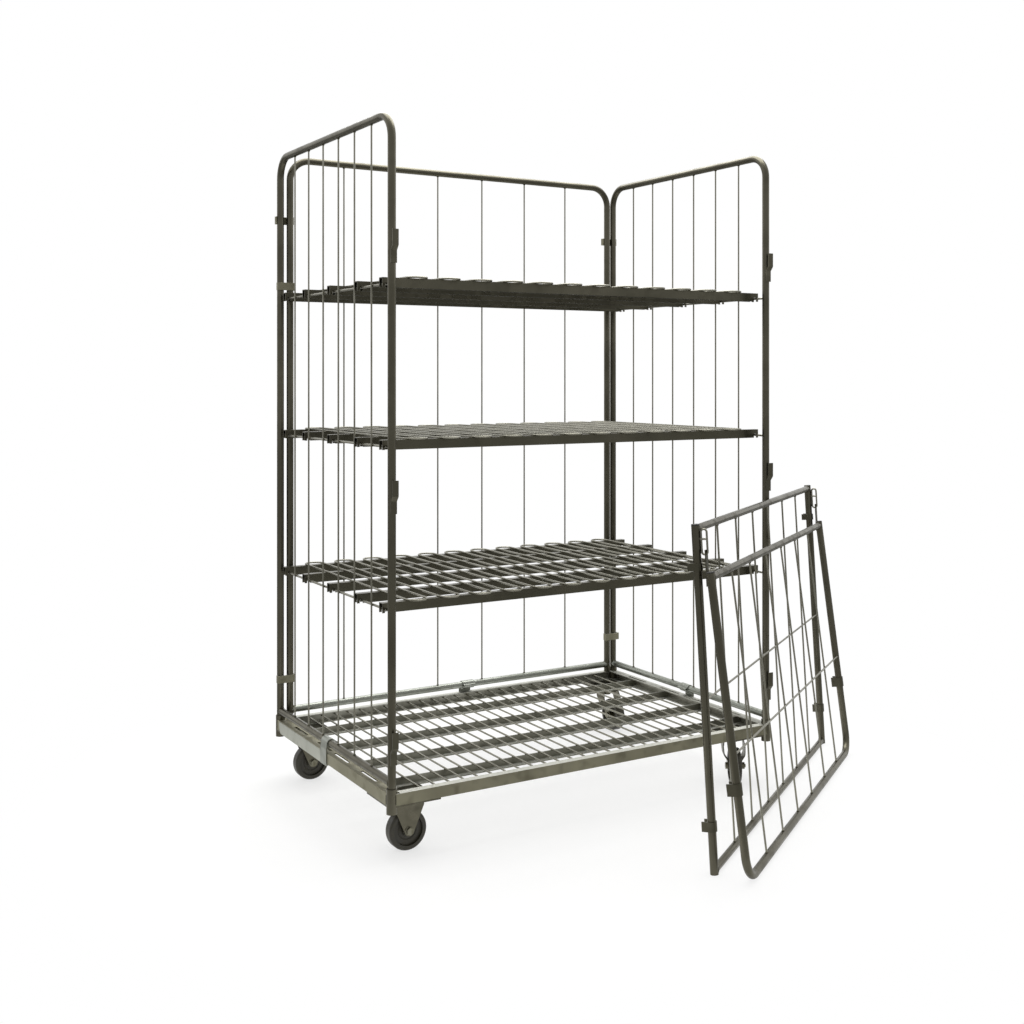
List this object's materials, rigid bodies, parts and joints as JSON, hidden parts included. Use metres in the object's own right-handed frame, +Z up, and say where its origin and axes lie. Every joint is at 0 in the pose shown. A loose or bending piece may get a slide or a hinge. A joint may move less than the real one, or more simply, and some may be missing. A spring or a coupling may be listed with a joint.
{
  "type": "roll container",
  "caption": "Tall wire roll container on casters with mesh side and back panels, lift-off wire shelves and loose half gates leaning at its front corner.",
  "frame": {"origin": "on the floor, under the middle of the box round the container and its two gates", "axes": "+Z up, +Y to the container's back, +X to its right as seen from the open front"},
  "size_m": [1.5986, 1.3384, 1.8],
  "materials": {
    "zinc_tube": "bright zinc-plated drawn tube, faint olive tint",
    "zinc_wire": "bright zinc-plated drawn wire",
    "zinc_sheet": "zinc-plated pressed sheet, satin, olive tint",
    "galvanised_plate": "pale galvanised sheet, satin",
    "fastener_steel": "zinc-plated bolts and nuts",
    "bearing_steel": "polished bearing steel",
    "wheel_nylon": "moulded black nylon, worn satin",
    "cap_plastic": "moulded black polyethylene"
  },
  "bodies": {
    "container": {"front_rail": "zinc_sheet", "back_rail": "zinc_sheet", "left_rail": "zinc_sheet", "right_rail": "zinc_sheet", "corner_sockets": "zinc_tube", "deck_bars": "zinc_sheet", "deck_wires": "zinc_wire", "caster_plates": "zinc_sheet", "label_plate": "galvanised_plate", "gate_hooks": "zinc_sheet", "corner_clips": "zinc_sheet", "left_panel_frame": "zinc_tube", "left_panel_crossbar": "zinc_tube", "left_panel_wires": "zinc_wire", "left_panel_rungs": "zinc_wire", "right_panel_frame": "zinc_tube", "right_panel_crossbar": "zinc_tube", "right_panel_wires": "zinc_wire", "right_panel_rungs": "zinc_wire", "back_panel_frame": "zinc_tube", "back_panel_crossbar": "zinc_tube", "back_panel_wires": "zinc_wire", "front_left_fork": "zinc_sheet", "back_left_fork": "zinc_sheet", "fixed_axles": "fastener_steel", "fixed_sleeves": "fastener_steel", "king_pins": "fastener_steel", "bearing_cups": "zinc_sheet"},
    "left_latch": {"left_latch": "galvanised_plate"},
    "right_latch": {"right_latch": "galvanised_plate"},
    "back_latch": {"back_latch": "galvanised_plate"},
    "front_left_wheel": {"front_left_wheel": "wheel_nylon"},
    "front_right_swivel": {"front_right_fork": "zinc_sheet", "front_right_axle": "fastener_steel", "front_right_sleeve": "fastener_steel", "front_right_balls": "bearing_steel"},
    "front_right_wheel": {"front_right_wheel": "wheel_nylon"},
    "back_left_wheel": {"back_left_wheel": "wheel_nylon"},
    "back_right_swivel": {"back_right_fork": "zinc_sheet", "back_right_axle": "fastener_steel", "back_right_sleeve": "fastener_steel", "back_right_balls": "bearing_steel"},
    "back_right_wheel": {"back_right_wheel": "wheel_nylon"},
    "lower_shelf": {"lower_shelf_bars": "zinc_sheet", "lower_shelf_loops": "zinc_wire"},
    "middle_shelf": {"middle_shelf_bars": "zinc_sheet", "middle_shelf_loops": "zinc_wire"},
    "upper_shelf": {"upper_shelf_bars": "zinc_sheet", "upper_shelf_loops": "zinc_wire"},
    "tall_gate": {"tall_gate_frame": "zinc_tube", "tall_gate_wires": "zinc_wire", "tall_gate_caps": "cap_plastic", "tall_gate_straps": "zinc_sheet", "tall_gate_links": "zinc_wire", "tall_gate_strips": "zinc_sheet"},
    "short_gate": {"short_gate_frame": "zinc_tube", "short_gate_wires": "zinc_wire", "short_gate_caps": "cap_plastic", "short_gate_straps": "zinc_sheet"}
  },
  "joints": [
    {"name": "left_latch_turn", "type": "hinge", "parent": "container", "child": "left_latch", "pos_m": [-0.78444, 0.28534, 0.1905], "axis": [0, 1, 0], "range_deg": [0, 110]},
    {"name": "right_latch_turn", "type": "hinge", "parent": "container", "child": "right_latch", "pos_m": [0.38556, 0.25334, 0.1905], "axis": [0, -1, 0], "range_deg": [0, 110]},
    {"name": "back_latch_turn", "type": "hinge", "parent": "container", "child": "back_latch", "pos_m": [-0.17444, 0.65034, 0.1905], "axis": [1, 0, 0], "range_deg": [0, 110]},
    {"name": "front_left_wheel_spin", "type": "hinge", "parent": "container", "child": "front_left_wheel", "pos_m": [-0.71644, -0.05066, 0.05], "axis": [0, 1, 0], "continuous": true},
    {"name": "front_right_swivel_turn", "type": "hinge", "parent": "container", "child": "front_right_swivel", "pos_m": [0.31756, -0.05066, 0.1214], "axis": [0, 0, 1], "continuous": true},
    {"name": "front_right_wheel_spin", "type": "hinge", "parent": "front_right_swivel", "child": "front_right_wheel", "pos_m": [0.29823, -0.0822, 0.05], "axis": [0.8526, -0.5225, 0], "continuous": true},
    {"name": "back_left_wheel_spin", "type": "hinge", "parent": "container", "child": "back_left_wheel", "pos_m": [-0.71644, 0.58934, 0.05], "axis": [0, 1, 0], "continuous": true},
    {"name": "back_right_swivel_turn", "type": "hinge", "parent": "container", "child": "back_right_swivel", "pos_m": [0.31756, 0.58934, 0.1214], "axis": [0, 0, 1], "continuous": true},
    {"name": "back_right_wheel_spin", "type": "hinge", "parent": "back_right_swivel", "child": "back_right_wheel", "pos_m": [0.31627, 0.55237, 0.05], "axis": [0.9994, -0.0349, 0], "continuous": true},
    {"name": "lower_shelf_lift", "type": "slide", "parent": "container", "child": "lower_shelf", "axis": [0, 0, 1], "range_m": [0, 0.3]},
    {"name": "middle_shelf_lift", "type": "slide", "parent": "container", "child": "middle_shelf", "axis": [0, 0, 1], "range_m": [0, 0.3]},
    {"name": "upper_shelf_lift", "type": "slide", "parent": "container", "child": "upper_shelf", "axis": [0, 0, 1], "range_m": [0, 0.3]},
    {"name": "tall_gate_lift", "type": "slide", "parent": "container", "child": "tall_gate", "axis": [0.4843, -0.718, 0.5], "range_m": [0, 0.4]},
    {"name": "short_gate_lift", "type": "slide", "parent": "tall_gate", "child": "short_gate", "axis": [0.4818, -0.7197, 0.5], "range_m": [0, 0.4]}
  ]
}
